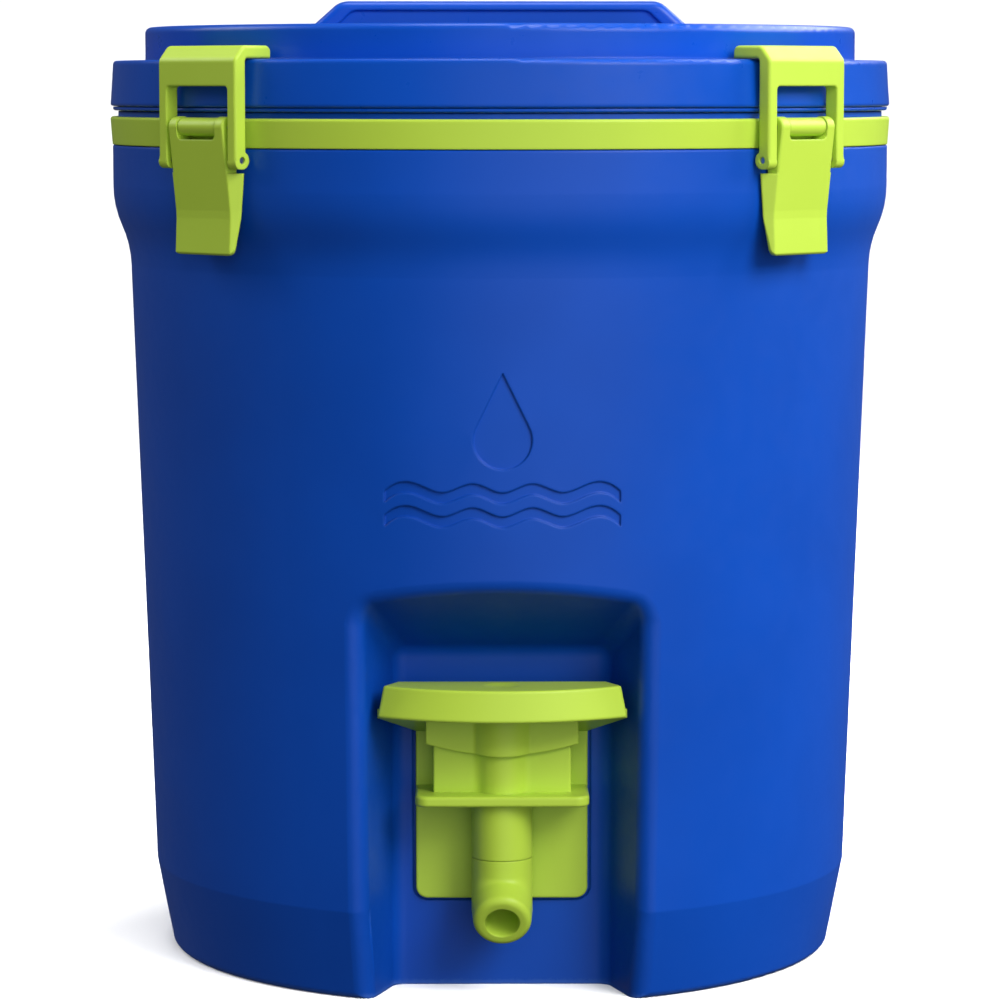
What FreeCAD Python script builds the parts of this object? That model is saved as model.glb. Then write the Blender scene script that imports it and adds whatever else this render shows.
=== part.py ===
"""Insulated drinks jug with a press spigot, a clamped lid and a carry handle. Millimetres, +Z up.

The origin is the centre of the base, on the surface the jug stands on. The spigot faces -Y.
A twin-wall foam-filled body carries a lime collar with four over-centre latches, which hook over
the rim of the foam-filled lid. Each latch is a lever on the collar and a bail on the lever.
"""
import FreeCAD, Part
import math
import os

V = FreeCAD.Vector

# ---- Driving sizes -------------------------------------------------------------------------

# Body shell, outside
base_flat_radius = 130.3
heel_radius = 133.8
heel_height = 3.3
foot_taper_radius = 139.9
foot_taper_height = 34.7
foot_run_out = 6.0
shoulder_radius = 155.3
shoulder_bottom = 307.0
shoulder_top = 323.2
shoulder_edge = 0.8
shoulder_bend_radius = 40.0
shoulder_bend_angle = 24.0
neck_radius = 153.0
ledge_height = 333.7
ledge_thickness = 3.5
ledge_width = 5.0
shell_wall = 3.0
plug_hole_radius = 9.0
plug_hole_y = 45.0
plug_sink = 0.4
plug_thickness = 2.5
plug_chamfer = 0.6

# Emblem pressed into the body's front
emblem_height = 216.0
emblem_depth = 0.8
drop_radius = 11.0
drop_length = 36.0
wave_count = 2
wave_width = 88.0
wave_thickness = 4.2
wave_rise = 3.4
wave_pitch = 9.0
wave_turns = 8

# Tank liner, inside
mouth_radius = 126.0
tank_floor_radius = 116.0
tank_floor_height = 71.0
tank_corner_radius = 14.0
liner_wall = 2.5
liner_flange = 2.5
foam_gap = 0.2

# Spigot alcove, open at the front and at the base
alcove_back = 95.0
alcove_half_width = 41.0
alcove_side_angle = 18.0
alcove_height = 131.6
alcove_roof_angle = 30.0
alcove_corner = 6.0
alcove_lip = 6.0
alcove_foam = 11.0

# Spigot body
plate_width = 66.2
plate_bottom = 34.3
plate_top = 108.0
plate_thickness = 3.7
plate_corner = 4.6
pocket_depth = 1.2
pocket_gap = 1.2
tube_offset = 12.0
tube_radius = 11.65
tube_bottom = 53.1
flange_height = 74.5
flange_thickness = 4.2
flange_reach = 27.5
housing_width = 52.5
housing_step = 5.5
housing_rib_radius = 10.4
rib_blend = 5.0
housing_top = 104.5
shank_height = 90.0
shank_radius = 10.5
shank_bore = 6.5
shank_inside = 13.0
chamber_radius = 7.0
seat_height = 61.6
seat_thickness = 3.0
seat_hole = 4.6
outlet_socket_radius = 9.0
chamber_roof = 4.0
shelf_corner = 5.0
shelf_edge = 1.2
plate_edge = 0.8
housing_edge = 0.7

# Seals, spring and nut
seal_thickness = 4.0
seal_radius = 6.2
o_ring_outer = 4.6
o_ring_groove = 2.4
gasket_outer = 17.0
wall_gasket = 1.0
washer_outer = 16.0
washer_thickness = 1.6
nut_thickness = 6.0
nut_across_flats = 30.0
spring_radius = 6.4
spring_wire = 0.9
spring_turns = 4

# Spout nozzle
nozzle_neck = 5.0
nozzle_bore = 6.6
nozzle_drop = 6.4
nozzle_bend_radius = 14.0
nozzle_bend_angle = 63.6
nozzle_end = 9.0
nozzle_mouth_radius = 11.0
nozzle_lip_round = 2.8
nozzle_chamber = 7.2

# Press button
button_top = 121.2
button_gap = 0.5
skirt_wall = 2.2
skirt_side_height = 98.2
skirt_middle_height = 93.4
paddle_half_width = 45.2
paddle_flare = 2.4
paddle_front = 142.0
paddle_corner_depth = 15.0
paddle_lip = 12.0
paddle_lip_thickness = 3.5
paddle_lean = 2.0
paddle_corner = 1.6
paddle_edge = 1.0
wedge_setback = 3.0
wedge_inset = 0.4
wedge_tuck = 3.0
wedge_step = 0.6
skirt_tuck = 4.0
dimple_radius = 30.0
dimple_depth = 0.8
dimple_setback = 10.0
boss_wall = 2.5
boss_length = 4.2
socket_depth = 6.0
paddle_back = 114.0
paddle_back_drop = 8.0
button_roof = 3.2
wing_back_height = 99.6
stem_radius = 2.5

# Collar and latches
collar_radius = 156.2
collar_taper = 0.8
collar_edge = 1.0
collar_bottom = 323.4
collar_top = 334.4
latch_azimuths = {"front_left": 225.0, "front_right": 315.0, "rear_right": 45.0, "rear_left": 135.0}
lever_pivot = (159.0, 331.2)
bail_pivot = (158.4, 318.8)
ear_radius = 3.9
barrel_length = 20.6
barrel_radius = 3.5
lever_width = 30.6
lever_splay = 0.85
lever_tip_thickness = 2.2
lever_lean = 4.0
lever_shoulder = 314.0
lever_tip_corner = 3.0
lever_tip_draft = 0.6
lever_boss_wall = 1.3
lever_kink_round = 1.5
lever_tip_round = 0.7
lever_soft_edge = 0.8
lever_kink = 298.4
lever_bottom = 283.2
lever_flare = 0.6
lever_notch_gap = 0.8
lever_notch_corner = 2.0
bail_width = 43.6
bail_leg = 4.6
bail_depth = 5.6
bail_bar_bottom = 346.4
hook_thickness = 4.8
bail_bevel = 4.6
bail_bevel_drop = 5.2
bail_soft_edge = 1.1
bail_kink_radius = 3.0
bail_window_corner = 1.6
bail_inside_corner = 1.2
hook_clearance = 1.6
hook_nose = 2.4
knuckle_radius = 3.3
pin_radius = 1.25
pin_recess = 0.6

# Lid
disc_radius = 142.1
disc_top = 369.6
rim_top = 356.4
rim_radius = 156.1
rim_draft = 1.1
rim_bottom = 336.8
disc_edge = 2.5
rim_edge = 1.5
lip_thickness = 1.4
lip_setback = 1.0
lip_edge = 0.8
rim_hem = 1.0
lid_wall = 2.5
plug_depth = 17.0
plug_clearance = 1.6
well_half_length = 58.0
well_half_width = 42.0
well_floor = 341.0
well_corner = 24.0
well_floor_edge = 5.0
plug_edge = 4.0
gasket_radius = 137.0
gasket_width = 6.0

# Carry handle
handle_foot_half = 75.4
handle_top_half = 63.8
handle_top = 380.0
handle_half_depth = 17.0
handle_underside = 367.4
handle_corner = 9.0
handle_edge = 3.2
handle_end_gap = 1.0
handle_arch_slope = 3.0
panel_inset = 1.2
panel_border = 3.6
panel_foot_border = 9.6
panel_top_border = 5.1
panel_corner = 5.0
screw_x = 66.5
screw_y = 9.0
screw_radius = 2.0
screw_head_radius = 3.8
screw_head_height = 2.2
screw_length = 9.0

# Clearances
seam_gap = 0.3
slip_gap = 0.4
pin_gap = 0.05
seal_gap = 0.1

# ---- Sizes that follow ---------------------------------------------------------------------

flange_top = ledge_height + seam_gap + liner_flange
neck_top = flange_top
neck_bore = neck_radius - shell_wall
hook_bottom = rim_top + seam_gap
hook_top = hook_bottom + hook_thickness
bail_inner = rim_radius + seam_gap
bail_outer = bail_inner + bail_depth
lever_front = lever_pivot[0] + ear_radius
pan_flange_top = rim_bottom + liner_flange
plug_radius = mouth_radius - plug_clearance
plug_bottom = rim_bottom - plug_depth
plate_back = alcove_back - pocket_depth
plate_front = plate_back + plate_thickness
tube_y = plate_front + tube_offset
housing_front = tube_y + housing_step
liner_bay_back = alcove_back - shell_wall - alcove_foam
inside_wall = liner_bay_back - liner_wall
lip_low = button_top - paddle_lip
button_ceiling = button_top - button_roof
button_back_half = plate_width / 2 - slip_gap
seal_low = seat_height - seal_gap - seal_thickness
o_ring_height = housing_top - chamber_roof
shank_end = inside_wall - shank_inside

parts = {}


# ---- Shared helpers ------------------------------------------------------------------------

def box(x0, x1, y0, y1, z0, z1):
    return Part.makeBox(x1 - x0, y1 - y0, z1 - z0, V(x0, y0, z0))


def rod(radius, start, direction, length):
    return Part.makeCylinder(radius, length, start, direction)


def ring(inner, outer, z0, z1):
    solid = rod(outer, V(0, 0, z0), V(0, 0, 1), z1 - z0)
    return solid.cut(rod(inner, V(0, 0, z0 - 1), V(0, 0, 1), z1 - z0 + 2))


def turned(edges):
    """Solid of revolution about Z from a closed chain of edges in the XZ plane."""
    return Part.Face(Part.Wire(edges)).revolve(V(0, 0, 0), V(0, 0, 1), 360)


def polygon(points):
    return Part.makePolygon(list(points) + [points[0]])


def prism(points, direction):
    return Part.Face(polygon(points)).extrude(direction)


def line(a, b):
    return Part.LineSegment(a, b).toShape()


def bend(start, radius, angle_from, angle_to, side):
    """Arc in the XZ plane from start, turning its heading between two angles from vertical.

    Headings lean inwards by the angle as the arc climbs down; side is +1 where the arc's
    centre is inside it, towards the axis, and -1 where it is outside.
    """
    def spot(angle):
        a = math.radians(angle)
        b = math.radians(angle_from)
        return V(start.x + side * radius * (math.cos(a) - math.cos(b)), 0,
                 start.z - side * radius * (math.sin(a) - math.sin(b)))
    middle = spot((angle_from + angle_to) / 2)
    end = spot(angle_to)
    return Part.Arc(start, middle, end).toShape(), end


def rounded_plate(half_width, z0, z1, y0, y1, corner):
    """Upright plate in the XZ plane with rounded corners, from y0 to y1."""
    plate = box(-half_width, half_width, y0, y1, z0, z1)
    corners = [e for e in plate.Edges if abs(e.tangentAt(e.FirstParameter).y) > 0.99]
    return plate.makeFillet(corner, corners)


def edges_where(shape, test):
    return [e for e in shape.Edges if test(e)]


def placed(shape, azimuth):
    """Turn a latch piece from its local frame (radius along X, width along Y) to its corner."""
    copy = shape.copy()
    copy.rotate(V(0, 0, 0), V(0, 0, 1), azimuth)
    return copy


# ---- Body ----------------------------------------------------------------------------------

def body_solid(inset, top, heeled=True):
    """The body's outside shape, shrunk evenly by inset, with its neck ending at top.

    Without its heel the foot's taper runs straight on, to a little below the base.
    """
    foot = V(base_flat_radius - inset, 0, inset)
    heel_middle = V(heel_radius - inset - 1.0, 0, inset + 1.0)
    heel = V(heel_radius - inset, 0, heel_height + inset * 0.5)
    taper = V(foot_taper_radius - inset, 0, foot_taper_height)
    shoulder_low = V(shoulder_radius - inset, 0, shoulder_bottom)
    upper, middle = bend(shoulder_low, shoulder_bend_radius - inset, 0, shoulder_bend_angle, 1)
    lower, waist = bend(middle, shoulder_bend_radius + inset, shoulder_bend_angle, 2.0, -1)
    ledge = shoulder_top - inset * 0.5
    shoulder_high = V(shoulder_radius - inset, 0, ledge - shoulder_edge)
    quarter = shoulder_edge * (1 - math.sin(math.radians(45)))
    ledge_middle = V(shoulder_high.x - quarter, 0, ledge - quarter)
    ledge_outer = V(shoulder_high.x - shoulder_edge, 0, ledge)
    neck_low = V(neck_radius - inset, 0, ledge)
    neck_high = V(neck_radius - inset, 0, top)
    if heeled:
        base = V(0, 0, inset)
        bottom = [line(base, foot), Part.Arc(foot, heel_middle, heel).toShape(), line(heel, taper)]
    else:
        base = V(0, 0, -foot_run_out)
        run_out = V(outside_radius(-foot_run_out), 0, -foot_run_out)
        bottom = [line(base, run_out), line(run_out, taper)]
    return turned(bottom + [
        line(taper, waist),
        lower,
        upper,
        line(shoulder_low, shoulder_high),
        Part.Arc(shoulder_high, ledge_middle, ledge_outer).toShape(),
        line(ledge_outer, neck_low),
        line(neck_low, neck_high),
        line(neck_high, V(0, 0, top)),
        line(V(0, 0, top), base),
    ])


def alcove(grow, corner):
    """The spigot's alcove as a cutting solid, grown by grow on its back, sides and roof."""
    side = math.radians(alcove_side_angle)
    roof = math.radians(alcove_roof_angle)
    back = alcove_back - grow
    front = shoulder_radius + 40.0

    def outline(depth):
        half = alcove_half_width + (depth - alcove_back) * math.tan(side) + grow / math.cos(side)
        top = alcove_height + (depth - alcove_back) * math.tan(roof) + grow / math.cos(roof)
        return polygon([V(-half, -depth, -30), V(half, -depth, -30),
                        V(half, -depth, top), V(-half, -depth, top)])

    solid = Part.makeLoft([outline(back), outline(front)], True, True)
    if not corner:
        return solid
    inner = edges_where(solid, lambda e: e.BoundBox.ZMax > 0 and e.BoundBox.YMax > -front + 1)
    return solid.makeFillet(corner, inner)


def outer_shell():
    """Shell with the alcove's mouth rounded down through the foot, then trimmed to the heel."""
    outside = body_solid(0, neck_top, False).cut(alcove(0, alcove_corner))
    outside = outside.makeFillet(alcove_lip, edges_where(outside, on_mouth))
    outside = outside.common(body_solid(0, neck_top))
    inside = body_solid(shell_wall, neck_top + 1).cut(alcove(shell_wall, 0))
    ledge = ring(neck_bore - ledge_width, neck_bore + 1, ledge_height - ledge_thickness,
                 ledge_height)
    shell = outside.cut(inside).fuse(ledge)
    pocket = rounded_plate(plate_width / 2 + pocket_gap, plate_bottom - pocket_gap,
                           plate_top + pocket_gap, -alcove_back - 1, -plate_back,
                           plate_corner + pocket_gap)
    shell = shell.cut(pocket).cut(shank_hole()).cut(emblem())
    return shell.cut(rod(plug_hole_radius, V(0, plug_hole_y, -1), V(0, 0, 1), shell_wall + 2))


def on_mouth(edge):
    """True for the edges where the alcove breaks out of the round body."""
    for parameter in (0.2, 0.5, 0.8):
        at = edge.FirstParameter + parameter * (edge.LastParameter - edge.FirstParameter)
        p = edge.valueAt(at)
        reach = math.hypot(p.x, p.y)
        if p.y > -100 or p.z > 200 or reach < base_flat_radius:
            return False
        if abs(reach - outside_radius(p.z)) > 0.05:
            return False
    return not is_round_the_axis(edge)


def outside_radius(z):
    """Outside radius of the body below its shoulder bend."""
    waist_radius, waist_height = waist()
    if z <= foot_taper_height:
        share = (z - heel_height) / (foot_taper_height - heel_height)
        return heel_radius + share * (foot_taper_radius - heel_radius)
    share = (z - foot_taper_height) / (waist_height - foot_taper_height)
    return foot_taper_radius + share * (waist_radius - foot_taper_radius)


def waist():
    """Radius and height where the straight taper meets the shoulder bend."""
    start = V(shoulder_radius, 0, shoulder_bottom)
    _, middle = bend(start, shoulder_bend_radius, 0, shoulder_bend_angle, 1)
    _, end = bend(middle, shoulder_bend_radius, shoulder_bend_angle, 2.0, -1)
    return end.x, end.z


def is_round_the_axis(edge):
    """True for a circle about the body's own axis, such as the foot's crease."""
    return edge.BoundBox.ZLength < 0.01 and edge.BoundBox.ZMax < foot_taper_height + 1


def shank_hole():
    return rod(shank_radius + slip_gap, V(0, -alcove_back - 5, shank_height), V(0, 1, 0), 60)


def emblem():
    """A plain water drop over two wave lines, pressed a little way into the shell's front."""
    depth = shoulder_radius + 10
    tilt = math.acos(drop_radius / (drop_length - drop_radius))
    left = V(-drop_radius * math.sin(tilt), -depth, emblem_height + drop_radius * math.cos(tilt))
    right = V(-left.x, -depth, left.z)
    tip = V(0, -depth, emblem_height + drop_length - drop_radius)
    drop = Part.Face(Part.Wire([
        line(tip, left),
        Part.Arc(left, V(0, -depth, emblem_height - drop_radius), right).toShape(),
        line(right, tip),
    ])).extrude(V(0, 60, 0))
    marks = [drop]
    for row in range(1, wave_count + 1):
        middle = emblem_height - drop_radius - row * wave_pitch
        marks.append(wave(middle, depth))
    tool = marks[0].fuse(marks[1:])
    return tool.cut(body_solid(emblem_depth, neck_top))


def wave(middle, depth):
    """One wave line: two smooth curves a line's thickness apart, closed at both ends."""
    def edge(offset):
        spots = []
        for step in range(wave_turns + 1):
            x = -wave_width / 2 + wave_width * step / wave_turns
            z = middle + offset + (wave_rise / 2 if step % 2 else -wave_rise / 2)
            spots.append(V(x, -depth, z))
        curve = Part.BSplineCurve()
        curve.interpolate(spots)
        return curve.toShape(), spots[0], spots[-1]
    top, top_left, top_right = edge(wave_thickness / 2)
    bottom, bottom_left, bottom_right = edge(-wave_thickness / 2)
    outline = Part.Wire([top, line(top_right, bottom_right), bottom, line(bottom_left, top_left)])
    return Part.Face(outline).extrude(V(0, 60, 0))


def tank_solid(grow):
    """The tank's space, grown outwards by grow, with its flat bay behind the alcove."""
    floor = tank_floor_height - grow
    low = tank_floor_radius + grow
    high = mouth_radius + grow
    corner = tank_corner_radius + grow
    lean = (high - low) / (flange_top - floor)
    start = V(low - corner, 0, floor)
    middle = V(low - corner * (1 - math.sin(math.radians(45))), 0,
               floor + corner * (1 - math.cos(math.radians(45))))
    end = V(low + lean * corner, 0, floor + corner)
    solid = turned([
        line(V(0, 0, floor), start),
        Part.Arc(start, middle, end).toShape(),
        line(end, V(high, 0, flange_top + 1)),
        line(V(high, 0, flange_top + 1), V(0, 0, flange_top + 1)),
        line(V(0, 0, flange_top + 1), V(0, 0, floor)),
    ])
    return solid.cut(alcove(alcove_back - liner_bay_back + liner_wall - grow, 0))


def inner_liner():
    outside = tank_solid(liner_wall).common(box(-200, 200, -200, 200, 0, flange_top))
    flange = rod(neck_bore - slip_gap, V(0, 0, flange_top - liner_flange), V(0, 0, 1),
                 liner_flange)
    return outside.fuse(flange).cut(tank_solid(0)).cut(shank_hole()).removeSplitter()


def body_foam():
    foam = body_solid(shell_wall + foam_gap, flange_top - liner_flange - foam_gap)
    foam = foam.cut(alcove(shell_wall + foam_gap, 0))
    foam = foam.cut(tank_solid(liner_wall + foam_gap)).cut(shank_hole())
    foam = foam.cut(ring(neck_bore - ledge_width - foam_gap, neck_radius,
                         ledge_height - ledge_thickness - foam_gap, flange_top))
    return foam


def foam_plug():
    """Push-in plug that closes the hole the foam is poured through."""
    head = rod(plug_hole_radius - seal_gap, V(0, plug_hole_y, plug_sink), V(0, 0, 1),
               plug_thickness)
    return head.makeChamfer(plug_chamfer, [head.Edges[2]])


parts["outer_shell"] = outer_shell()
parts["inner_liner"] = inner_liner()
parts["body_foam"] = body_foam()
parts["foam_plug"] = foam_plug()


# ---- Collar and latches --------------------------------------------------------------------

def pin_line(pivot, length, radius):
    """Cylinder along a latch's width, centred on the latch's middle plane."""
    return rod(radius, V(pivot[0], -length / 2, pivot[1]), V(0, 1, 0), length)


def collar_band():
    """Lime band round the neck, with one hinge barrel per latch and a pocket behind each ear."""
    inside = neck_radius + slip_gap / 2
    band = turned([
        line(V(inside, 0, collar_bottom), V(collar_radius - collar_taper, 0, collar_bottom)),
        line(V(collar_radius - collar_taper, 0, collar_bottom), V(collar_radius, 0, collar_top)),
        line(V(collar_radius, 0, collar_top), V(inside, 0, collar_top)),
        line(V(inside, 0, collar_top), V(inside, 0, collar_bottom)),
    ])
    band = band.makeFillet(collar_edge, edges_where(
        band, lambda e: e.BoundBox.ZMin > collar_top - 0.01 and e.BoundBox.XMax > inside + 1))
    for azimuth in latch_azimuths.values():
        ears = pin_line(lever_pivot, lever_width + 2, ear_radius + slip_gap)
        band = band.cut(placed(ears, azimuth))
        barrel = pin_line(lever_pivot, barrel_length, barrel_radius)
        root = box(neck_radius + 1, lever_pivot[0], -barrel_length / 2, barrel_length / 2,
                   lever_pivot[1] - barrel_radius + slip_gap, collar_top - 0.2)
        root = root.cut(rod(neck_radius + slip_gap / 2, V(0, 0, 300), V(0, 0, 1), 60))
        hole = pin_line(lever_pivot, barrel_length + 2, pin_radius + pin_gap)
        band = band.fuse(placed(barrel.fuse(root), azimuth)).cut(placed(hole, azimuth))
    return band.removeSplitter()


def lever_section(z, front, back, inset=0.0):
    """Outline of the lever's arm at a height: drafted sides, with both front edges rounded."""
    half = lever_width / 2 - inset
    corner = V(front, half, z)
    rear = V(back, half + (front - back) * lever_splay, z)
    along_front = V(0, -1, 0)
    along_side = (rear - corner).normalize()
    bisector = (along_front + along_side).normalize()
    half_angle = along_front.getAngle(along_side) / 2
    reach = lever_soft_edge / math.tan(half_angle)
    start = corner + along_front * reach
    end = corner + along_side * reach
    middle = corner + bisector * (lever_soft_edge / math.sin(half_angle) - lever_soft_edge)

    def mirrored(p):
        return V(p.x, -p.y, p.z)
    return Part.Wire([
        line(mirrored(start), start),
        Part.Arc(start, middle, end).toShape(),
        line(end, rear),
        line(rear, mirrored(rear)),
        line(mirrored(rear), mirrored(end)),
        Part.Arc(mirrored(end), mirrored(middle), mirrored(start)).toShape(),
    ])


def lever_front_at(z):
    """Radius of the lever's front face, which leans in down to the kink and then flares."""
    if z >= lever_kink:
        return lever_front - lever_lean * (lever_pivot[1] - z) / (lever_pivot[1] - lever_kink)
    return lever_front - lever_lean + lever_flare * (lever_kink - z) / (lever_kink - lever_bottom)


def latch_lever():
    """Lever with two ears round the collar's barrel, drafted sides and a thin flared tip."""
    half = lever_width / 2
    neck_back = shoulder_radius + slip_gap
    tip_front = lever_front_at(lever_bottom)
    tip_back = tip_front - lever_tip_thickness
    arm = Part.makeLoft([
        lever_section(lever_bottom, tip_front - lever_tip_round, tip_back, lever_tip_round),
        lever_section(lever_bottom + lever_tip_round, tip_front, tip_back),
        lever_section(lever_kink - lever_kink_round, lever_front_at(lever_kink - lever_kink_round),
                      neck_back),
        lever_section(lever_kink + lever_kink_round, lever_front_at(lever_kink + lever_kink_round),
                      neck_back),
        lever_section(lever_shoulder, lever_front_at(lever_shoulder), neck_back),
    ], True, True)
    foot = half + lever_tip_draft
    outline = prism([V(100, -half - 5, lever_shoulder + 1), V(100, half + 5, lever_shoulder + 1),
                     V(100, foot, lever_bottom), V(100, -foot, lever_bottom)], V(100, 0, 0))
    arm = arm.common(outline.makeFillet(lever_tip_corner, edges_where(
        outline, lambda e: e.BoundBox.XLength > 5 and e.BoundBox.ZMax < lever_bottom + 0.01)))
    upper = prism([V(lever_front_at(z), -half, z) for z in (lever_shoulder - 1, lever_pivot[1])]
                  + [V(neck_back, -half, lever_pivot[1]),
                     V(neck_back, -half, lever_shoulder - 1)], V(0, lever_width, 0))
    upper = upper.makeFillet(lever_soft_edge, edges_where(
        upper, lambda e: e.BoundBox.ZLength > 5 and e.BoundBox.XMin > neck_back + 1))
    ears = pin_line(lever_pivot, lever_width, ear_radius)
    ears = ears.makeFillet(lever_soft_edge, edges_where(
        ears, lambda e: e.BoundBox.YLength < 0.01))
    boss = pin_line(bail_pivot, lever_width, pin_radius + lever_boss_wall)
    arm = arm.fuse([upper, ears, boss])
    notch = barrel_length / 2 + slip_gap
    window = box(lever_pivot[0] - ear_radius, lever_front + 5, -notch, notch,
                 lever_pivot[1] - ear_radius - lever_notch_gap, lever_pivot[1] + 10)
    window = window.makeFillet(lever_notch_corner, edges_where(
        window, lambda e: e.BoundBox.XLength > 5 and e.BoundBox.ZMax < lever_pivot[1]))
    arm = arm.cut(window)
    arm = arm.cut(rod(collar_radius + slip_gap, V(0, 0, collar_bottom - 2), V(0, 0, 1), 20))
    arm = arm.cut(pin_line(lever_pivot, lever_width + 2, pin_radius + pin_gap))
    arm = arm.cut(pin_line(bail_pivot, lever_width + 2, pin_radius + pin_gap))
    return arm.removeSplitter()


def latch_bail():
    """Inverted U on the lever's pin, with a bevelled bar that hooks over the lid's rim."""
    half = bail_width / 2
    tip = disc_radius + hook_clearance
    outline = [
        (bail_inner, bail_pivot[1]), (bail_inner, hook_bottom), (tip, hook_bottom),
        (tip, hook_top), (bail_outer - bail_bevel, hook_top),
        (bail_outer, hook_top - bail_bevel_drop), (bail_outer, bail_pivot[1]),
    ]
    frame = prism([V(r, -half, z) for r, z in outline], V(0, bail_width, 0))
    frame = frame.makeFillet(bail_kink_radius, edges_where(
        frame, lambda e: e.BoundBox.YLength > 5 and e.BoundBox.XMin > bail_outer - bail_bevel
        - 0.01 and e.BoundBox.ZMin > hook_top - bail_bevel_drop - 0.01))
    frame = frame.makeFillet(hook_nose, edges_where(
        frame, lambda e: e.BoundBox.XMax < tip + 0.01 and e.BoundBox.ZMin > hook_top - 0.01))
    frame = frame.makeFillet(bail_inside_corner, edges_where(
        frame, lambda e: e.BoundBox.YLength > 5 and abs(e.BoundBox.XMax - bail_inner) < 0.01
        and abs(e.BoundBox.ZMin - hook_bottom) < 0.01))
    frame = frame.makeFillet(bail_soft_edge, edges_where(
        frame, lambda e: e.BoundBox.YLength < 0.01 and e.BoundBox.ZMax > bail_pivot[1] + 0.01
        and e.BoundBox.XMax > tip - 0.01 and e.BoundBox.ZMin > bail_pivot[1] - 0.01
        and not (e.BoundBox.XMax < bail_inner + 0.01 and e.BoundBox.ZMin < hook_bottom)))
    window = box(bail_inner - 10, bail_outer + 1, -half + bail_leg, half - bail_leg,
                 bail_pivot[1] - 20, bail_bar_bottom)
    frame = frame.cut(window.makeFillet(bail_window_corner, edges_where(
        window, lambda e: e.BoundBox.XLength > 5 and e.BoundBox.ZMin > bail_bar_bottom - 0.01)))
    frame = frame.makeFillet(bail_soft_edge / 2, edges_where(
        frame, lambda e: e.BoundBox.XMin > bail_outer - 0.01 and e.BoundBox.ZMin > bail_pivot[1]
        - 0.01 and e.BoundBox.ZMax < bail_bar_bottom + 0.01 and abs(e.BoundBox.YMin) < half
        - bail_leg + 0.01 and abs(e.BoundBox.YMax) < half - bail_leg + 0.01))
    for left in (-half, half - bail_leg):
        knuckle = rod(knuckle_radius, V(bail_pivot[0], left, bail_pivot[1]), V(0, 1, 0), bail_leg)
        heel = box(bail_pivot[0], bail_outer, left, left + bail_leg,
                   bail_pivot[1] - knuckle_radius, bail_pivot[1])
        heel = heel.makeFillet(knuckle_radius * 0.8, edges_where(
            heel, lambda e: e.BoundBox.XMin > bail_outer - 0.01 and e.BoundBox.ZMax
            < bail_pivot[1] - 1))
        frame = frame.fuse([knuckle, heel])
    frame = frame.cut(pin_line(bail_pivot, bail_width + 2, pin_radius + pin_gap))
    return frame.removeSplitter()


lever = latch_lever()
bail = latch_bail()
pivot_pin = pin_line(lever_pivot, lever_width - 2 * pin_recess, pin_radius)
hook_pin = pin_line(bail_pivot, bail_width - 2 * pin_recess, pin_radius)
parts["collar_band"] = collar_band()
for corner, azimuth in latch_azimuths.items():
    parts["latch_lever_" + corner] = placed(lever, azimuth)
    parts["latch_bail_" + corner] = placed(bail, azimuth)
    parts["lever_pin_" + corner] = placed(pivot_pin, azimuth)
    parts["bail_pin_" + corner] = placed(hook_pin, azimuth)


# ---- Lid -----------------------------------------------------------------------------------

def lid_solid(inset, bottom):
    """The lid's outside, shrunk evenly by inset, from bottom up."""
    top = disc_top - inset
    disc = disc_radius - inset
    rim_high = rim_radius - rim_draft - inset
    rim_low = rim_radius - inset
    step = rim_top - inset
    quarter = 1 - math.sin(math.radians(45))
    return turned([
        line(V(0, 0, bottom), V(rim_low, 0, bottom)),
        line(V(rim_low, 0, bottom), V(rim_high, 0, step - rim_edge)),
        Part.Arc(V(rim_high, 0, step - rim_edge),
                 V(rim_high - rim_edge * quarter, 0, step - rim_edge * quarter),
                 V(rim_high - rim_edge, 0, step)).toShape(),
        line(V(rim_high - rim_edge, 0, step), V(disc, 0, step)),
        line(V(disc, 0, step), V(disc, 0, top - disc_edge)),
        Part.Arc(V(disc, 0, top - disc_edge), V(disc - disc_edge * quarter, 0, top - disc_edge * quarter),
                 V(disc - disc_edge, 0, top)).toShape(),
        line(V(disc - disc_edge, 0, top), V(0, 0, top)),
        line(V(0, 0, top), V(0, 0, bottom)),
    ])


def finger_well(grow):
    """Recess under the handle, grown outwards by grow."""
    floor = well_floor - grow
    half_x = well_half_length + grow
    half_y = well_half_width + grow
    well = box(-half_x, half_x, -half_y, half_y, floor, disc_top + 5)
    corners = edges_where(well, lambda e: e.BoundBox.ZLength > 5)
    return well.makeFillet(well_corner + grow, corners)


def lid_shell():
    bottom = rim_bottom + lip_thickness + seam_gap
    shell = lid_solid(0, bottom)
    room = lid_solid(lid_wall, bottom - 1).cut(finger_well(lid_wall))
    well = finger_well(0)
    floor_edges = edges_where(well, lambda e: e.BoundBox.ZMax < well_floor + 0.01)
    well = well.makeFillet(well_floor_edge, floor_edges)
    shell = shell.makeFillet(rim_hem, edges_where(
        shell, lambda e: e.BoundBox.ZMax < bottom + 0.01 and e.BoundBox.XMax > rim_radius - 1))
    shell = shell.cut(room).cut(well)
    for screw in handle_screw_places():
        shell = shell.cut(rod(screw_radius + slip_gap, screw, V(0, 0, 1), 20))
    return shell


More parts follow.
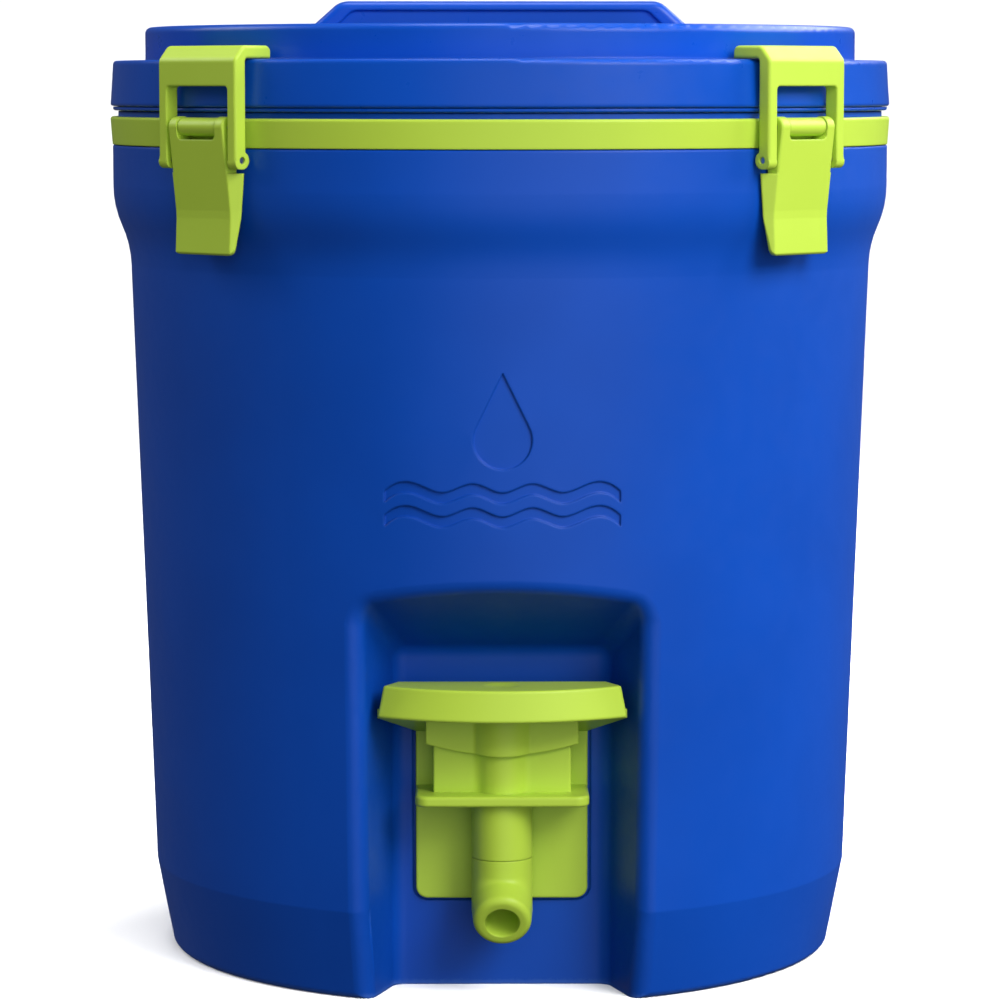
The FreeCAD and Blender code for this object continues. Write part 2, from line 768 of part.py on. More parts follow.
def lid_pan():
    """Underside of the lid: a flange under the rim and a plug that drops into the mouth."""
    lip = ring(plug_radius - lid_wall, rim_radius - lip_setback, rim_bottom,
               rim_bottom + lip_thickness)
    lip = lip.makeFillet(lip_edge, edges_where(
        lip, lambda e: e.BoundBox.ZMax < rim_bottom + 0.01 and e.BoundBox.XMax > plug_radius + 1))
    flange = ring(plug_radius - lid_wall, rim_radius - lid_wall - slip_gap,
                  rim_bottom, pan_flange_top)
    plug = rod(plug_radius, V(0, 0, plug_bottom), V(0, 0, 1), pan_flange_top - plug_bottom)
    plug = plug.makeFillet(plug_edge, edges_where(
        plug, lambda e: e.BoundBox.ZMax < plug_bottom + 0.01))
    hollow = rod(plug_radius - lid_wall, V(0, 0, plug_bottom + lid_wall), V(0, 0, 1), 60)
    pan = lip.fuse(flange).fuse(plug.cut(hollow)).removeSplitter()
    groove = ring(gasket_radius - slip_gap, gasket_radius + gasket_width + slip_gap,
                  rim_bottom - 1, rim_bottom + lip_thickness)
    return pan.cut(groove)


def lid_gasket():
    return ring(gasket_radius, gasket_radius + gasket_width,
                flange_top + seal_gap, rim_bottom + lip_thickness - seal_gap)


def lid_foam():
    upper = lid_solid(lid_wall + foam_gap, pan_flange_top + foam_gap)
    lower = rod(plug_radius - lid_wall - foam_gap,
                V(0, 0, plug_bottom + lid_wall + foam_gap), V(0, 0, 1), 30)
    foam = upper.fuse(lower).cut(finger_well(lid_wall + foam_gap))
    for screw in handle_screw_places():
        foam = foam.cut(rod(screw_head_radius + slip_gap, screw, V(0, 0, 1), 20))
    return foam.removeSplitter()


def handle_screw_places():
    """Undersides of the handle's screw heads, inside the lid."""
    low = disc_top - lid_wall - screw_head_height
    return [V(x, y, low) for x in (-screw_x, screw_x) for y in (-screw_y, screw_y)]


def carry_handle():
    """Bar across the finger well, with sloping feet, rounded edges and a sunk panel each side."""
    depth = handle_half_depth
    span = well_half_length - handle_end_gap
    outline = [
        (-handle_foot_half, disc_top), (-handle_top_half, handle_top),
        (handle_top_half, handle_top), (handle_foot_half, disc_top),
        (span, disc_top), (span - handle_arch_slope, handle_underside),
        (handle_arch_slope - span, handle_underside), (-span, disc_top),
    ]
    bar = prism([V(x, -depth, z) for x, z in outline], V(0, 2 * depth, 0))
    tops = edges_where(bar, lambda e: e.BoundBox.ZMax > disc_top + 5 and e.BoundBox.YLength > 5)
    bar = bar.makeFillet(handle_corner, tops)
    rims = edges_where(bar, lambda e: e.BoundBox.YLength < 0.01
                       and e.BoundBox.ZMax > disc_top + 1)
    bar = bar.makeFillet(handle_edge, rims)
    foot = handle_foot_half - panel_foot_border
    top = handle_top_half - panel_top_border
    for side in (-1, 1):
        near = side * (depth - panel_inset)
        panel = prism([V(-foot, near, disc_top), V(-top, near, handle_top - panel_border),
                       V(top, near, handle_top - panel_border), V(foot, near, disc_top)],
                      V(0, side * 5, 0))
        soft = edges_where(panel, lambda e: e.BoundBox.YLength > 4
                           and e.BoundBox.ZMax > disc_top + 1)
        bar = bar.cut(panel.makeFillet(panel_corner, soft))
    for screw in handle_screw_places():
        bar = bar.cut(rod(screw_radius + pin_gap, screw, V(0, 0, 1), screw_length + slip_gap))
    return bar


def handle_screws():
    screws = []
    for place in handle_screw_places():
        head = rod(screw_head_radius, place, V(0, 0, 1), screw_head_height - pin_gap)
        screws.append(head.fuse(rod(screw_radius, place, V(0, 0, 1), screw_length)))
    return Part.makeCompound(screws)


parts["lid_shell"] = lid_shell()
parts["lid_pan"] = lid_pan()
parts["lid_foam"] = lid_foam()
parts["lid_gasket"] = lid_gasket()
parts["carry_handle"] = carry_handle()
parts["handle_screws"] = handle_screws()


# ---- Spigot --------------------------------------------------------------------------------

def upright(radius, y, z0, z1):
    return rod(radius, V(0, -y, z0), V(0, 0, 1), z1 - z0)


def housing_solid(grow, z0, z1):
    """The housing's flat-fronted box with its central rib, grown by grow to the front and sides."""
    half = housing_width / 2 + grow
    body = box(-half, half, -housing_front - grow, -plate_front + 1, z0, z1)
    body = body.fuse(upright(housing_rib_radius + grow, tube_y, z0, z1)).removeSplitter()
    creases = edges_where(body, lambda e: e.BoundBox.ZLength > 1
                          and abs(e.BoundBox.YMax + housing_front + grow) < 0.01
                          and abs(e.BoundBox.XMax) < housing_rib_radius + grow)
    return body.makeFillet(rib_blend - grow, creases)


def spigot_body():
    """Moulded in one: wall plate, shelf flange, valve housing, down tube and threaded shank."""
    plate = rounded_plate(plate_width / 2, plate_bottom, plate_top, -plate_front, -plate_back,
                          plate_corner)
    plate = plate.makeFillet(plate_edge, edges_where(
        plate, lambda e: e.BoundBox.YMax < -plate_front + 0.01))
    half = plate_width / 2
    shelf = box(-half, half, -plate_front - flange_reach, -plate_front + 1,
                flange_height, flange_height + flange_thickness)
    nose = edges_where(shelf, lambda e: e.BoundBox.ZLength > 3
                       and e.BoundBox.YMax < -plate_front - 5)
    shelf = shelf.makeFillet(shelf_corner, nose)
    shelf = shelf.makeFillet(shelf_edge, edges_where(
        shelf, lambda e: e.BoundBox.ZLength < 0.01 and e.BoundBox.YMin < -plate_front - 5
        and e.BoundBox.XLength + e.BoundBox.YLength > 1))
    housing = housing_solid(0, flange_height + 1, housing_top)
    housing = housing.makeFillet(housing_edge, edges_where(
        housing, lambda e: e.BoundBox.ZLength > 5 and e.BoundBox.YMax < -housing_front + 0.01
        and abs(e.BoundBox.XMax) > housing_rib_radius + 1))
    tube = upright(tube_radius, tube_y, tube_bottom, flange_height + 1)
    shank = rod(shank_radius, V(0, -plate_back - 1, shank_height), V(0, 1, 0),
                plate_back + 1 - shank_end)
    body = plate.fuse([shelf, housing, tube, shank])
    body = body.cut(upright(chamber_radius, tube_y, seat_height + seat_thickness,
                            housing_top - 2 * chamber_roof))
    body = body.cut(upright(seat_hole, tube_y, seat_height - 1, seat_height + seat_thickness + 1))
    body = body.cut(upright(outlet_socket_radius, tube_y, tube_bottom - 1, seat_height))
    body = body.cut(upright(stem_radius + pin_gap, tube_y, housing_top - 10, housing_top + 1))
    body = body.cut(upright(o_ring_outer + seal_gap, tube_y, o_ring_height - o_ring_groove / 2,
                            o_ring_height + o_ring_groove / 2))
    body = body.cut(rod(shank_bore, V(0, -tube_y, shank_height), V(0, 1, 0), tube_y))
    recess = rod(gasket_outer + slip_gap, V(0, -plate_back - wall_gasket, shank_height),
                 V(0, 1, 0), wall_gasket)
    keep = rod(shank_radius, V(0, -plate_back - wall_gasket, shank_height),
               V(0, 1, 0), wall_gasket)
    return body.cut(recess.cut(keep)).removeSplitter()


def spout_nozzle():
    """Separate elbow that plugs into the down tube and turns the pour forwards."""
    low = tube_bottom - nozzle_drop
    axis_y = -tube_y - nozzle_bend_radius
    angle = math.radians(nozzle_bend_angle)
    heading = V(0, -math.sin(angle), -math.cos(angle))
    end = V(0, axis_y + nozzle_bend_radius * math.cos(angle),
            low - nozzle_bend_radius * math.sin(angle))

    def elbow(radius):
        disc = Part.Face(Part.Wire(Part.makeCircle(radius, V(0, -tube_y, low), V(0, 0, -1))))
        return disc.revolve(V(0, axis_y, low), V(1, 0, 0), -nozzle_bend_angle)

    outer = upright(tube_radius, tube_y, low, tube_bottom - seam_gap * 0.5)
    outer = outer.fuse(upright(outlet_socket_radius - seal_gap, tube_y, low, tube_bottom + nozzle_neck))
    tip = Part.makeCone(tube_radius, nozzle_mouth_radius, nozzle_end, end, heading)
    rounded = edges_where(tip, lambda e: e.Curve.TypeId == "Part::GeomCircle"
                          and abs(e.Curve.Radius - nozzle_mouth_radius) < 0.01)
    tip = tip.makeFillet(nozzle_lip_round, rounded)
    solid = outer.fuse([elbow(tube_radius), tip])
    bore = upright(nozzle_chamber, tube_y, low + 1.0, tube_bottom + nozzle_neck + 1)
    bore = bore.fuse([upright(nozzle_bore, tube_y, low, low + 2), elbow(nozzle_bore),
                      rod(nozzle_bore, end, heading, nozzle_end + 1)])
    return solid.cut(bore).removeSplitter()


def paddle_outline(half, front, back_half):
    """Crescent plan of the paddle: straight back, splayed sides and a bowed front edge."""
    corner_y = front - paddle_corner_depth
    left = V(-half, -corner_y, 0)
    right = V(half, -corner_y, 0)
    return [
        line(V(-back_half, -plate_front - button_gap, 0), left),
        Part.Arc(left, V(0, -front, 0), right).toShape(),
        line(right, V(back_half, -plate_front - button_gap, 0)),
        line(V(back_half, -plate_front - button_gap, 0),
             V(-back_half, -plate_front - button_gap, 0)),
    ]


def paddle_solid():
    """The paddle's block: splayed, leaning and bowed, with every outer edge softened."""
    low_wire = Part.Wire(paddle_outline(paddle_half_width + paddle_flare, paddle_front,
                                        button_back_half))
    top_wire = Part.Wire(paddle_outline(paddle_half_width, paddle_front - paddle_lean,
                                         button_back_half))
    low_wire.translate(V(0, 0, lip_low))
    top_wire.translate(V(0, 0, button_top))
    block = Part.makeLoft([low_wire, top_wire], True, True)
    behind = prism([
        V(-100, -paddle_back, button_top), V(-100, -plate_front + 1, button_top - paddle_back_drop),
        V(-100, -plate_front + 1, button_top + 5), V(-100, -paddle_back, button_top + 5),
    ], V(200, 0, 0))
    corner_y = paddle_front - paddle_corner_depth
    block = block.makeFillet(paddle_corner, edges_where(
        block, lambda e: e.BoundBox.ZLength > 5 and e.BoundBox.YMax < -corner_y + 4))
    rims = edges_where(block, lambda e: e.BoundBox.ZLength < 0.01
                       and e.BoundBox.YMin < -corner_y + 12)
    return block.makeFillet(paddle_edge, rims).cut(behind)


def wedge_solid():
    """Sloping underside that runs from the paddle's corners back and down to the wall plate."""
    corner_y = paddle_front - paddle_corner_depth
    outline = Part.Wire(paddle_outline(paddle_half_width + paddle_flare - wedge_inset,
                                       paddle_front - wedge_setback, button_back_half))
    outline.translate(V(0, 0, lip_low + wedge_tuck))
    wedge = Part.Face(outline).extrude(V(0, 0, -25))
    near = plate_front + button_gap
    slope = (lip_low + wedge_step - wing_back_height) / (corner_y - near)
    far = paddle_front + 20
    under = prism([
        V(-100, -near + 5, wing_back_height - 5 * slope), V(-100, -near + 5, 0),
        V(-100, -far, 0), V(-100, -far, wing_back_height + (far - near) * slope),
    ], V(200, 0, 0))
    return wedge.cut(under)


def skirt_solid():
    """Sleeve below the paddle that slides over the housing, its hem bowed down in the middle."""
    skirt = housing_solid(button_gap + skirt_wall, skirt_middle_height,
                          lip_low + skirt_tuck)
    half = housing_width / 2 + button_gap + skirt_wall
    below = Part.Face(Part.Wire([
        Part.Arc(V(-half - 1, 0, skirt_side_height), V(0, 0, skirt_middle_height),
                 V(half + 1, 0, skirt_side_height)).toShape(),
        line(V(half + 1, 0, skirt_side_height), V(half + 1, 0, 60)),
        line(V(half + 1, 0, 60), V(-half - 1, 0, 60)),
        line(V(-half - 1, 0, 60), V(-half - 1, 0, skirt_side_height)),
    ])).extrude(V(0, -200, 0))
    return skirt.cut(below)


def spigot_button():
    """Press button in one moulding: paddle, wedge, skirt and the socket for the valve stem."""
    block = paddle_solid()
    hollow = lip_inside().common(box(-100, 100, -200, 0, 0, button_ceiling))
    hollow = hollow.cut(wedge_solid()).cut(skirt_solid())
    button = block.fuse([wedge_solid(), skirt_solid()]).cut(hollow)
    button = button.cut(housing_solid(button_gap, 60, button_ceiling))
    button = button.cut(box(-100, 100, -plate_front - button_gap, 0, 60, 200))
    boss = upright(stem_radius + boss_wall, tube_y, button_ceiling - boss_length,
                   button_ceiling + 1)
    socket = upright(stem_radius + pin_gap, tube_y, button_ceiling - socket_depth, button_ceiling)
    dimple = Part.makeSphere(dimple_radius, V(0, -paddle_back - dimple_setback,
                                              button_top + dimple_radius - dimple_depth))
    return button.fuse(boss).cut(socket).cut(dimple).removeSplitter()


def lip_inside():
    """Space behind the paddle's front lip, below its roof."""
    wide = paddle_half_width + paddle_flare - paddle_lip_thickness
    wire = Part.Wire(paddle_outline(wide, paddle_front - paddle_lip_thickness, plate_width / 2))
    wire.translate(V(0, 0, lip_low - 30))
    return Part.Face(wire).extrude(V(0, 0, 60))


def valve_stem():
    return upright(stem_radius, tube_y, seal_low, button_ceiling - slip_gap / 2)


def valve_seal():
    seal = upright(seal_radius, tube_y, seal_low, seal_low + seal_thickness)
    return seal.cut(upright(stem_radius + 0.01, tube_y, seal_low - 1, seat_height + 1))


def stem_o_ring():
    middle = V(0, -tube_y, o_ring_height)
    section = (o_ring_outer - stem_radius - pin_gap) / 2
    return Part.makeTorus(stem_radius + pin_gap + section, section - 0.01, middle, V(0, 0, 1))


def return_spring():
    low = housing_top + seal_gap + spring_wire / 2
    high = button_ceiling - seal_gap - spring_wire / 2
    helix = Part.makeHelix((high - low) / spring_turns, high - low, spring_radius)
    wire = Part.Wire(helix.Edges)
    start = helix.Edges[0].valueAt(helix.Edges[0].FirstParameter)
    heading = helix.Edges[0].tangentAt(helix.Edges[0].FirstParameter)
    section = Part.Wire(Part.makeCircle(spring_wire / 2, start, heading))
    spring = wire.makePipeShell([section], True, True)
    spring.translate(V(0, -tube_y, low))
    return spring


def spigot_gasket():
    return flat_ring(shank_radius + seal_gap, gasket_outer, plate_back, wall_gasket - seal_gap)


def flat_ring(inner, outer, y, thickness):
    """Washer round the shank, from y towards the front."""
    start = V(0, -y - thickness, shank_height)
    washer = rod(outer, start, V(0, 1, 0), thickness)
    return washer.cut(rod(inner, start, V(0, 1, 0), thickness))


def tank_washer():
    return flat_ring(shank_radius + seal_gap, washer_outer,
                     inside_wall - washer_thickness - seal_gap, washer_thickness)


def spigot_nut():
    near = inside_wall - washer_thickness - 2 * seal_gap
    radius = nut_across_flats / math.sqrt(3)
    corners = [V(radius * math.cos(math.radians(60 * k)), -near,
                 shank_height + radius * math.sin(math.radians(60 * k))) for k in range(6)]
    nut = prism(corners, V(0, nut_thickness, 0))
    return nut.cut(rod(shank_radius + pin_gap, V(0, -near - 1, shank_height), V(0, 1, 0),
                       nut_thickness + 2))


parts["spigot_body"] = spigot_body()
parts["spout_nozzle"] = spout_nozzle()
parts["spigot_button"] = spigot_button()
parts["valve_stem"] = valve_stem()
parts["valve_seal"] = valve_seal()
parts["stem_o_ring"] = stem_o_ring()
parts["return_spring"] = return_spring()
parts["spigot_gasket"] = spigot_gasket()
parts["tank_washer"] = tank_washer()
parts["spigot_nut"] = spigot_nut()


# ---- Write ---------------------------------------------------------------------------------

os.makedirs("parts", exist_ok=True)
for name, shape in parts.items():
    solids = shape.Solids
    print(f"{name}: {len(solids)} solid(s), {sum(s.Volume for s in solids) / 1000:.2f} cm3, "
          f"valid {shape.isValid()}, z {shape.BoundBox.ZMin:.1f} to {shape.BoundBox.ZMax:.1f}")
    shape.exportStep(f"parts/{name}.step")
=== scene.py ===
"""Looks of an insulated drinks jug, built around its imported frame. Metres, same axes as the frame.

The sections follow the jug as it is put together: body, collar and latches, lid, handle, spigot
and press button. The studio comes last.
"""

import math

import bmesh
import bpy
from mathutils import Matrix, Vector


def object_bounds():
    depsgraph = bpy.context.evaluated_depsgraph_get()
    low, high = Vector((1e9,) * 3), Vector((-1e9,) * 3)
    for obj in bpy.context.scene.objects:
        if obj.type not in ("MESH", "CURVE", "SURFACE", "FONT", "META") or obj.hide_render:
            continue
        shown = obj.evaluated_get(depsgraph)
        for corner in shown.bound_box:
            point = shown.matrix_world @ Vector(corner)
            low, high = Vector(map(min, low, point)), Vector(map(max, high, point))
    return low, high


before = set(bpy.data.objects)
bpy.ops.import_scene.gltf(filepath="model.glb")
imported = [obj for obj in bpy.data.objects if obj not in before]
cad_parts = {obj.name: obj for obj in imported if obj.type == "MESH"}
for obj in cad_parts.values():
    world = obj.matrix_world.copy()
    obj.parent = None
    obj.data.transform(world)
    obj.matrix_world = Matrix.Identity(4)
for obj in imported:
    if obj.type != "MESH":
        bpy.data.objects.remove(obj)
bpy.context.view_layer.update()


# ---- Outer shell -----------------------------------------------------------------------------
# The jug's outside wall: blue polypropylene, injection moulded 3 mm thick. The mould's fine
# eroded finish leaves it satin, with a barely visible grain that spreads every highlight.

MM = 0.001


def linear(hex_code):
    """An sRGB hex colour as linear RGBA."""
    parts = [int(hex_code[i:i + 2], 16) / 255 for i in (1, 3, 5)]
    return [c / 12.92 if c <= 0.04045 else ((c + 0.055) / 1.055) ** 2.4 for c in parts] + [1.0]


def add_node(tree, kind, settings=(), values=(), links=()):
    """Add one node, set its settings and input values, and link its inputs to given outputs."""
    node = tree.nodes.new(kind)
    for name, value in dict(settings).items():
        setattr(node, name, value)
    for name, value in dict(values).items():
        node.inputs[name].default_value = value
    for name, output in dict(links).items():
        tree.links.new(output, node.inputs[name])
    return node


def new_material(name):
    """An empty material and its node tree."""
    material = bpy.data.materials.new(name)
    material.use_nodes = True
    material.node_tree.nodes.clear()
    return material, material.node_tree


# Sockets of a colour mix node: its two colours going in, and the mixed colour coming out.
COLOUR_A = 6
COLOUR_B = 7
COLOUR_OUT = 2


def moulded_polypropylene(name, colour, deep, roughness, grain_mm, edge_mm, rub_height_mm=None):
    """Injection-moulded polypropylene: IOR 1.49, a fine eroded grain and faint flow clouding.

    grain_mm is coarser than the real 0.3 mm grain, which is too fine to show. edge_mm is the
    radius that softens the shading of every edge. Below rub_height_mm the surface is scuffed
    paler by whatever the jug is stood on.
    """
    cloud_mm = 70
    polish_mm = 9
    scuff_mm = 2.5
    scuff_share = 0.35
    grain_depth_mm = 0.05

    material, tree = new_material(name)
    place = add_node(tree, "ShaderNodeTexCoord").outputs["Object"]
    cloud = add_node(tree, "ShaderNodeTexNoise",
                     values={"Scale": 1 / (cloud_mm * MM), "Detail": 3.0, "Roughness": 0.45},
                     links={"Vector": place})
    cloud_share = add_node(tree, "ShaderNodeMapRange",
                           values={"From Min": 0.35, "From Max": 0.65},
                           links={"Value": cloud.outputs["Fac"]})
    paint = add_node(tree, "ShaderNodeMix", {"data_type": "RGBA"},
                     {COLOUR_A: linear(deep), COLOUR_B: linear(colour)},
                     {"Factor": cloud_share.outputs[0]})
    colour_out = paint.outputs[COLOUR_OUT]

    polish = add_node(tree, "ShaderNodeTexNoise",
                      values={"Scale": 1 / (polish_mm * MM), "Detail": 4.0, "Roughness": 0.6},
                      links={"Vector": place})
    rough = add_node(tree, "ShaderNodeMapRange",
                     values={"From Min": 0.3, "From Max": 0.7,
                             "To Min": roughness - 0.03, "To Max": roughness + 0.04},
                     links={"Value": polish.outputs["Fac"]})
    rough_out = rough.outputs[0]

    if rub_height_mm:
        height = add_node(tree, "ShaderNodeSeparateXYZ", links={"Vector": place}).outputs["Z"]
        ragged = add_node(tree, "ShaderNodeTexNoise",
                          values={"Scale": 1 / (scuff_mm * MM), "Detail": 6.0, "Roughness": 0.7},
                          links={"Vector": place})
        reach = add_node(tree, "ShaderNodeMath", {"operation": "MULTIPLY"},
                         {1: 2 * rub_height_mm * MM}, {0: ragged.outputs["Fac"]})
        rubbed = add_node(tree, "ShaderNodeMapRange", {"interpolation_type": "SMOOTHSTEP"},
                          {"To Min": scuff_share, "To Max": 0.0},
                          {"Value": height, "From Max": reach.outputs[0]})
        scuff = add_node(tree, "ShaderNodeMix", {"data_type": "RGBA"},
                         {COLOUR_B: linear("#5f8ad2")},
                         {"Factor": rubbed.outputs[0], COLOUR_A: colour_out})
        colour_out = scuff.outputs[COLOUR_OUT]
        rough_out = add_node(tree, "ShaderNodeMath", {"operation": "ADD"},
                             links={0: rough_out, 1: rubbed.outputs[0]}).outputs[0]

    grain = add_node(tree, "ShaderNodeTexNoise",
                     values={"Scale": 1 / (grain_mm * MM), "Detail": 2.0, "Roughness": 0.6},
                     links={"Vector": place})
    edge = add_node(tree, "ShaderNodeBevel", {"samples": 6}, {"Radius": edge_mm * MM})
    bump = add_node(tree, "ShaderNodeBump",
                    values={"Strength": 0.22, "Distance": grain_depth_mm * MM},
                    links={"Height": grain.outputs["Fac"], "Normal": edge.outputs[0]})
    shader = add_node(tree, "ShaderNodeBsdfPrincipled",
                      values={"IOR": 1.49, "Specular IOR Level": 0.33},
                      links={"Base Color": colour_out, "Roughness": rough_out,
                             "Normal": bump.outputs[0]})
    add_node(tree, "ShaderNodeOutputMaterial", links={"Surface": shader.outputs[0]})
    return material


def finish_nodes(material, *names):
    """Give frame nodes a material on every slot."""
    for name in names:
        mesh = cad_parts[name].data
        if not mesh.materials:
            mesh.materials.append(material)
        for index in range(len(mesh.materials)):
            mesh.materials[index] = material


shell_plastic = moulded_polypropylene("polypropylene_blue_eroded_shell", "#064fc0", "#054bb8",
                                      roughness=0.42, grain_mm=0.9, edge_mm=1.2,
                                      rub_height_mm=2.5)
finish_nodes(shell_plastic, "outer_shell", "foam_plug")


# ---- Insulation foam ---------------------------------------------------------------------------
# Polyurethane poured into the closed body and lid through a hole in each, where it sets round
# the liner. Cream, dull, with closed cells just under a millimetre across.

def poured_foam(name):
    """Set foam: each cell is a shallow pit, darker towards its rim."""
    cell_mm = 0.8
    pit_mm = 0.3
    material, tree = new_material(name)
    place = add_node(tree, "ShaderNodeTexCoord").outputs["Object"]
    cells = add_node(tree, "ShaderNodeTexVoronoi", values={"Scale": 1 / (cell_mm * MM)},
                     links={"Vector": place})
    tint = add_node(tree, "ShaderNodeMix", {"data_type": "RGBA"},
                    {COLOUR_A: linear("#efe4bd"), COLOUR_B: linear("#d8c990")},
                    {"Factor": cells.outputs["Distance"]})
    bump = add_node(tree, "ShaderNodeBump", values={"Strength": 0.5, "Distance": pit_mm * MM},
                    links={"Height": cells.outputs["Distance"]})
    shader = add_node(tree, "ShaderNodeBsdfPrincipled", values={"Roughness": 0.85, "IOR": 1.5},
                      links={"Base Color": tint.outputs[COLOUR_OUT], "Normal": bump.outputs[0]})
    add_node(tree, "ShaderNodeOutputMaterial", links={"Surface": shader.outputs[0]})
    return material


finish_nodes(poured_foam("polyurethane_foam_poured"), "body_foam", "lid_foam")


# ---- Tank liner --------------------------------------------------------------------------------
# The tank that holds the drink: food-grade polypropylene, white, moulded glossier than the
# outside so that it rinses clean. Its flange rests on a ledge inside the shell's neck. The nut
# and the valve stem are moulded in the same plastic.

liner_plastic = moulded_polypropylene("polypropylene_white_polished_liner", "#eceeec", "#e6e9e8",
                                      roughness=0.27, grain_mm=1.4, edge_mm=0.6)
finish_nodes(liner_plastic, "inner_liner", "spigot_nut", "valve_stem")


# ---- Collar band -------------------------------------------------------------------------------
# A lime polypropylene hoop that clips round the neck and carries the latches' hinge barrels.
# Same plastic as the latches and spigot, with a slightly finer grain than the shell.

lime_plastic = moulded_polypropylene("polypropylene_lime_eroded_fittings", "#c3e34d", "#bfdf49",
                                     roughness=0.38, grain_mm=0.7, edge_mm=0.9)
finish_nodes(lime_plastic, "collar_band")


# ---- Latches -----------------------------------------------------------------------------------
# Four over-centre latches: a lime lever on the collar, a lime bail that hooks the lid's rim, and
# two turned stainless pins pressed through them.

def turned_stainless(name, roughness):
    """Stainless steel as it leaves the lathe or the die, with fine, uneven tool marks."""
    mark_mm = 0.25
    material, tree = new_material(name)
    place = add_node(tree, "ShaderNodeTexCoord").outputs["Object"]
    marks = add_node(tree, "ShaderNodeTexNoise",
                     values={"Scale": 1 / (mark_mm * MM), "Detail": 2.0},
                     links={"Vector": place})
    rough = add_node(tree, "ShaderNodeMapRange",
                     values={"To Min": roughness - 0.06, "To Max": roughness + 0.06},
                     links={"Value": marks.outputs["Fac"]})
    shader = add_node(tree, "ShaderNodeBsdfPrincipled",
                      values={"Metallic": 1.0, "Base Color": linear("#c6c8ca")},
                      links={"Roughness": rough.outputs[0]})
    add_node(tree, "ShaderNodeOutputMaterial", links={"Surface": shader.outputs[0]})
    return material


pin_steel = turned_stainless("stainless_steel_turned_pins", 0.3)
for corner in ("front_left", "front_right", "rear_right", "rear_left"):
    finish_nodes(lime_plastic, "latch_lever_" + corner, "latch_bail_" + corner)
    finish_nodes(pin_steel, "lever_pin_" + corner, "bail_pin_" + corner)


# ---- Lid ---------------------------------------------------------------------------------------
# Two blue mouldings welded round the rim, filled with foam. The top is a raised disc over a
# wider rim; the pan below carries the plug that drops into the tank's mouth.

lid_plastic = moulded_polypropylene("polypropylene_blue_eroded_lid", "#0751c4", "#064dbc",
                                    roughness=0.30, grain_mm=0.9, edge_mm=1.5)
finish_nodes(lid_plastic, "lid_shell", "lid_pan")


# ---- Lid gasket and other seals ----------------------------------------------------------------
# The lid's gasket, and the spigot's gasket, tank washer, stem O-ring and valve seal. All are
# compression-moulded silicone: off-white, dull and slightly see-through at their edges.

def moulded_silicone(name):
    """Silicone rubber, IOR 1.41, with the faint patchy bloom it gets in use."""
    bloom_mm = 6
    material, tree = new_material(name)
    place = add_node(tree, "ShaderNodeTexCoord").outputs["Object"]
    bloom = add_node(tree, "ShaderNodeTexNoise",
                     values={"Scale": 1 / (bloom_mm * MM), "Detail": 4.0},
                     links={"Vector": place})
    tint = add_node(tree, "ShaderNodeMix", {"data_type": "RGBA"},
                    {COLOUR_A: linear("#dfe1dc"), COLOUR_B: linear("#cdd0cb")},
                    {"Factor": bloom.outputs["Fac"]})
    shader = add_node(tree, "ShaderNodeBsdfPrincipled",
                      values={"Roughness": 0.5, "IOR": 1.41, "Subsurface Weight": 0.1,
                              "Subsurface Scale": 1.0 * MM},
                      links={"Base Color": tint.outputs[COLOUR_OUT]})
    add_node(tree, "ShaderNodeOutputMaterial", links={"Surface": shader.outputs[0]})
    return material


seal_silicone = moulded_silicone("silicone_moulded_seals")
finish_nodes(seal_silicone, "lid_gasket", "spigot_gasket", "tank_washer", "stem_o_ring",
             "valve_seal")


# ---- Carry handle ------------------------------------------------------------------------------
# A solid blue bar across the finger well, with rounded edges and a sunk panel on each side,
# held from inside the lid by four steel screws.

finish_nodes(lid_plastic, "carry_handle")
finish_nodes(turned_stainless("stainless_steel_rolled_screws", 0.35), "handle_screws")


# ---- Spigot ------------------------------------------------------------------------------------
# Wall plate, shelf, valve housing, down tube and shank in one lime moulding, with the pour spout
# pushed into the tube's end and a nut on the shank inside the tank.

finish_nodes(lime_plastic, "spigot_body", "spout_nozzle")


# ---- Press button ------------------------------------------------------------------------------
# The lime paddle and skirt in one moulding. It rides on the valve stem and is sprung up by a
# coil of stainless wire.

finish_nodes(lime_plastic, "spigot_button")
finish_nodes(turned_stainless("stainless_steel_drawn_spring", 0.25), "return_spring")


# ---- Studio ------------------------------------------------------------------------------------
# A white paper sweep that curves up behind the jug, soft boxes that are strongest at the front
# right, the right side and overhead, and a dim room that leaves the left side in shade.

low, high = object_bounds()
middle = (low + high) / 2


def paper_sweep(half_width, front, back, height, bend, bend_steps=16):
    """A sheet that lies on the floor, bends up behind the jug and stands upright."""
    mesh = bpy.data.meshes.new("paper_sweep")
    sketch = bmesh.new()
    profile = [(front, 0.0)]
    for step in range(bend_steps + 1):
        angle = math.radians(90 * step / bend_steps)
        profile.append((back - bend + bend * math.sin(angle), bend - bend * math.cos(angle)))
    profile.append((back, height))
    rows = [[sketch.verts.new((x, y, low.z + z)) for x in (-half_width, half_width)]
            for y, z in profile]
    for first, second in zip(rows, rows[1:]):
        sketch.faces.new((first[0], first[1], second[1], second[0])).smooth = True
    sketch.to_mesh(mesh)
    sketch.free()
    sheet = bpy.data.objects.new("paper_sweep", mesh)
    bpy.context.scene.collection.objects.link(sheet)
    return sheet


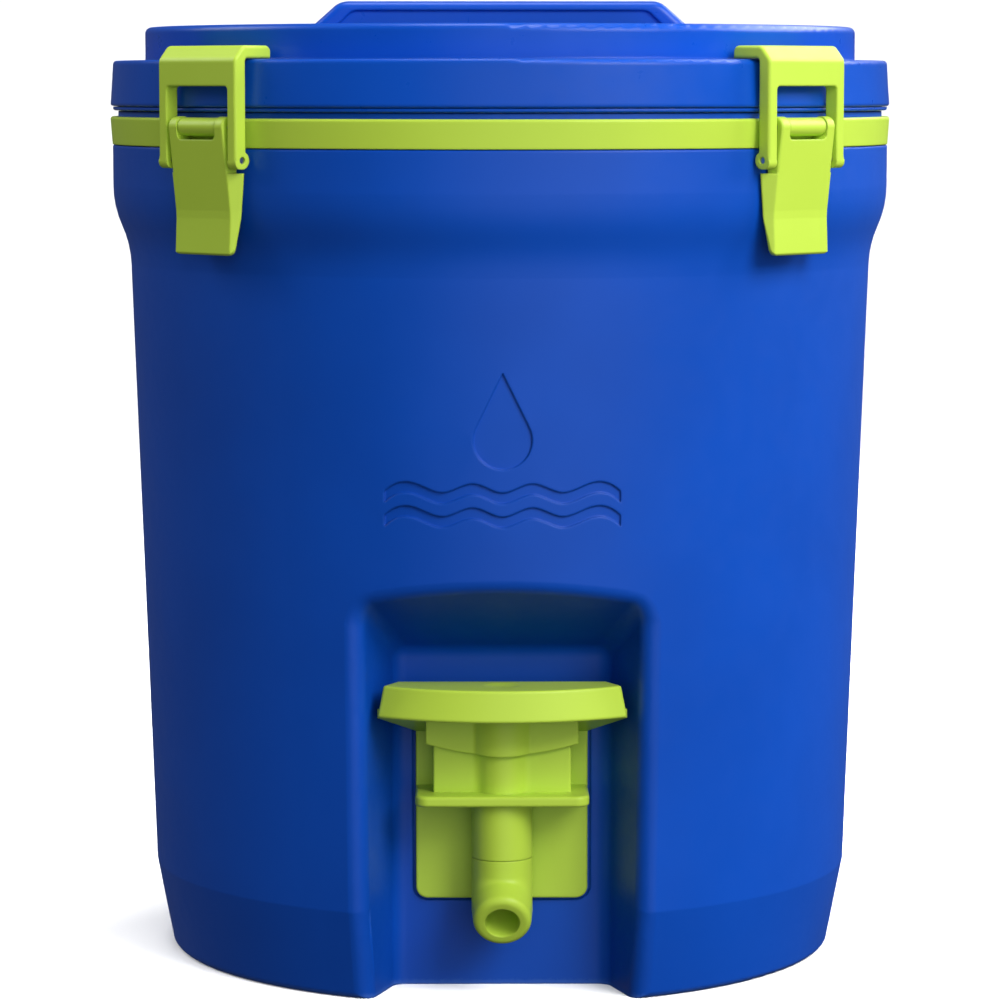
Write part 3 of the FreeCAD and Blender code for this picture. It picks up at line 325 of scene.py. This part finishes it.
def white_paper(name):
    """Matt white paper, a shade uneven from its fibres."""
    fibre_mm = 40
    material, tree = new_material(name)
    fibre = add_node(tree, "ShaderNodeTexNoise",
                     values={"Scale": 1 / (fibre_mm * MM), "Detail": 2.0})
    tint = add_node(tree, "ShaderNodeMix", {"data_type": "RGBA"},
                    {COLOUR_A: linear("#f8f8f8"), COLOUR_B: linear("#f6f6f6")},
                    {"Factor": fibre.outputs["Fac"]})
    shader = add_node(tree, "ShaderNodeBsdfPrincipled",
                      values={"Roughness": 0.9, "Specular IOR Level": 0.1},
                      links={"Base Color": tint.outputs[COLOUR_OUT]})
    add_node(tree, "ShaderNodeOutputMaterial", links={"Surface": shader.outputs[0]})
    return material


sweep = paper_sweep(half_width=6.0, front=-5.0, back=4.0, height=5.0, bend=1.6)
sweep.data.materials.append(white_paper("paper_white_studio_sweep"))
sweep.visible_diffuse = False
sweep.visible_glossy = False


def soft_box(name, azimuth, elevation, power, size=1.0):
    """A square of soft light two metres from the jug's middle, turned towards it."""
    reach = 2.0
    data = bpy.data.lights.new(name, "AREA")
    data.shape = "SQUARE"
    data.size = size
    data.energy = power
    light = bpy.data.objects.new(name, data)
    level = math.cos(math.radians(elevation))
    away = Vector((math.sin(math.radians(azimuth)) * level,
                   -math.cos(math.radians(azimuth)) * level, math.sin(math.radians(elevation))))
    light.location = middle + reach * away
    light.rotation_euler = (-away).to_track_quat("-Z", "Y").to_euler()
    bpy.context.scene.collection.objects.link(light)
    return light


soft_box("key_front_right", 40, 35, 26)
soft_box("side_right", 100, 30, 22)
soft_box("rim_back_right", 135, 35, 18)
soft_box("rim_left", -100, 35, 13)
soft_box("overhead", 0, 89, 19)
front_wash = soft_box("front_wash", 14, 8, 20, size=2.0)
front_wash.visible_glossy = False

backdrop = bpy.data.collections.new("backdrop")
backdrop.objects.link(sweep)
wash = bpy.data.lights.new("backdrop_wash", "SUN")
wash.energy = 2.2
wash.angle = math.radians(80)
wash_light = bpy.data.objects.new("backdrop_wash", wash)
wash_light.rotation_euler = (math.radians(40), 0, 0)
wash_light.light_linking.receiver_collection = backdrop
bpy.context.scene.collection.objects.link(wash_light)

world = bpy.data.worlds.new("studio_room")
world.use_nodes = True
bpy.context.scene.world = world
world.node_tree.nodes.clear()
room = add_node(world.node_tree, "ShaderNodeBackground",
                values={"Strength": 0.09, "Color": linear("#f4f6fa")})
add_node(world.node_tree, "ShaderNodeOutputWorld", links={"Surface": room.outputs[0]})

bpy.context.scene.view_settings.view_transform = "Standard"

camera_pitch = 5.826
camera_turn = 0.4
camera_data = bpy.data.cameras.new("camera")
camera_data.sensor_width = 36
camera_data.lens = 146.77
camera_data.clip_end = 50
camera = bpy.data.objects.new("camera", camera_data)
camera.location = (-0.0115, -1.649, 0.3472)
camera.rotation_euler = (math.radians(90 - camera_pitch), 0, math.radians(-camera_turn))
bpy.context.scene.collection.objects.link(camera)
bpy.context.scene.camera = camera
